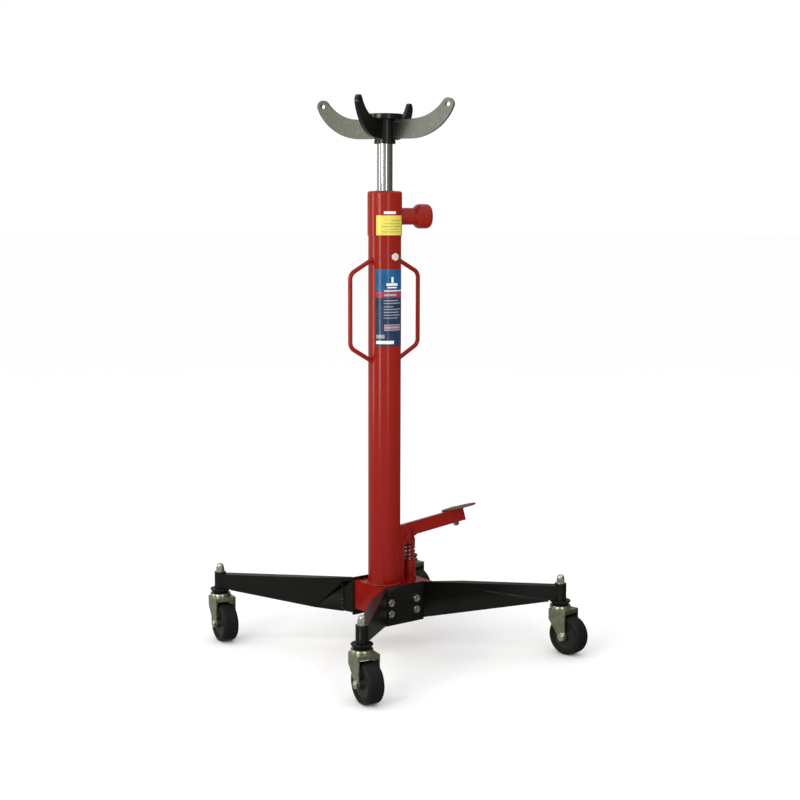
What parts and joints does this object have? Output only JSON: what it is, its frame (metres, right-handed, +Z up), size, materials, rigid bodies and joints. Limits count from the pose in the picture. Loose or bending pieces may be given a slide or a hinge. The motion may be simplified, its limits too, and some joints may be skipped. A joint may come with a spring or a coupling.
{
  "type": "transmission jack",
  "caption": "Vertical hydraulic jack: red column on a black caster frame, foot pump, chrome ram and a four-armed saddle.",
  "frame": {"origin": "middle of the footprint's box at floor level", "axes": "+X from the column towards the foot pump, +Z up along the column, +Y to the left of the pump as seen from above"},
  "size_m": [0.6359, 0.6595, 1.253],
  "materials": {
    "red_paint": "gloss enamel, slightly worn",
    "black_paint": "gloss enamel with small chips",
    "zinc": "dull zinc plate",
    "chrome": "ground and polished",
    "steel": "machined",
    "bronze": "machined",
    "rubber": "moulded",
    "wheel_plastic": "moulded",
    "tyre": "satin rubber"
  },
  "bodies": {
    "base": {"frame_front": "black_paint", "frame_rear": "black_paint", "base_block": "red_paint", "frame_bolts": "zinc", "frame_washers": "zinc", "column_tube": "red_paint", "column_collar": "red_paint", "ram_guide": "bronze", "rod_seals": "rubber", "pressure_cylinder": "steel", "cylinder_gasket": "rubber", "handle_left": "red_paint", "handle_right": "red_paint", "release_housing": "red_paint", "release_seal": "rubber", "filler_plug": "zinc", "filler_seal": "rubber", "pump_barrel": "steel", "pump_gland": "red_paint", "check_balls": "steel", "check_springs": "zinc", "fulcrum_bracket": "red_paint", "fulcrum_pin": "red_paint", "pump_spring": "red_paint", "caster_stems": "zinc", "dome_nuts": "zinc", "swivel_races": "black_paint", "swivel_balls": "steel"},
    "ram": {"ram_rod": "chrome", "ram_piston": "bronze", "piston_seal": "rubber", "piston_nut": "zinc"},
    "saddle": {"saddle_hub": "black_paint", "saddle_plate": "black_paint", "saddle_arms": "black_paint", "saddle_screw": "zinc"},
    "pedal": {"pedal_lever": "red_paint", "pedal_plate": "red_paint", "pedal_bolt": "zinc", "plunger_pin": "red_paint"},
    "plunger": {"plunger": "chrome", "plunger_head": "red_paint"},
    "release": {"release_knob": "red_paint", "release_spindle": "zinc"},
    "caster_left": {"fork_left": "zinc", "axle_left": "zinc"},
    "wheel_left": {"hub_left": "wheel_plastic", "tyre_left": "tyre"},
    "caster_front": {"fork_front": "zinc", "axle_front": "zinc"},
    "wheel_front": {"hub_front": "wheel_plastic", "tyre_front": "tyre"},
    "caster_right": {"fork_right": "zinc", "axle_right": "zinc"},
    "wheel_right": {"hub_right": "wheel_plastic", "tyre_right": "tyre"},
    "caster_rear": {"fork_rear": "zinc", "axle_rear": "zinc"},
    "wheel_rear": {"hub_rear": "wheel_plastic", "tyre_rear": "tyre"}
  },
  "joints": [
    {"name": "ram_slide", "type": "slide", "parent": "base", "child": "ram", "axis": [0, 0, 1], "range_m": [-0.1, 0.7]},
    {"name": "saddle_swivel", "type": "hinge", "parent": "ram", "child": "saddle", "pos_m": [-0.011, 0.025, 1.18], "axis": [0, 0, 1], "continuous": true},
    {"name": "pedal_pivot", "type": "hinge", "parent": "base", "child": "pedal", "pos_m": [0.039, 0.025, 0.257], "axis": [0, 1, 0], "range_deg": [0, 22], "stiffness_Nm_per_rad": 8, "springref_deg": -22.92},
    {"name": "plunger_slide", "type": "slide", "parent": "base", "child": "plunger", "axis": [0, 0, -1], "range_m": [0, 0.0095], "deforming": ["pump_spring"]},
    {"name": "release_turn", "type": "hinge", "parent": "base", "child": "release", "pos_m": [0.07245, -0.00872, 0.994], "axis": [0.9272, -0.3746, 0], "range_deg": [0, 180]},
    {"name": "swivel_left", "type": "hinge", "parent": "base", "child": "caster_left", "pos_m": [-0.2824, 0.3074, 0.1], "axis": [0, 0, 1], "continuous": true},
    {"name": "roll_left", "type": "hinge", "parent": "caster_left", "child": "wheel_left", "pos_m": [-0.28639, 0.28221, 0.0445], "axis": [0.9877, -0.1564, 0], "continuous": true},
    {"name": "swivel_front", "type": "hinge", "parent": "base", "child": "caster_front", "pos_m": [-0.2824, -0.2574, 0.1], "axis": [0, 0, 1], "continuous": true},
    {"name": "roll_front", "type": "hinge", "parent": "caster_front", "child": "wheel_front", "pos_m": [-0.28639, -0.28259, 0.0445], "axis": [0.9877, -0.1564, 0], "continuous": true},
    {"name": "swivel_right", "type": "hinge", "parent": "base", "child": "caster_right", "pos_m": [0.2824, -0.2574, 0.1], "axis": [0, 0, 1], "continuous": true},
    {"name": "roll_right", "type": "hinge", "parent": "caster_right", "child": "wheel_right", "pos_m": [0.28595, -0.28265, 0.0445], "axis": [0.9903, 0.1392, 0], "continuous": true},
    {"name": "swivel_rear", "type": "hinge", "parent": "base", "child": "caster_rear", "pos_m": [0.2824, 0.3074, 0.1], "axis": [0, 0, 1], "continuous": true},
    {"name": "roll_rear", "type": "hinge", "parent": "caster_rear", "child": "wheel_rear", "pos_m": [0.28462, 0.282, 0.0445], "axis": [0.9962, 0.0872, 0], "continuous": true}
  ],
  "couplings": [
    {"joint": "plunger_slide", "follows": "pedal_pivot", "m_per_rad": 0.02367}
  ]
}
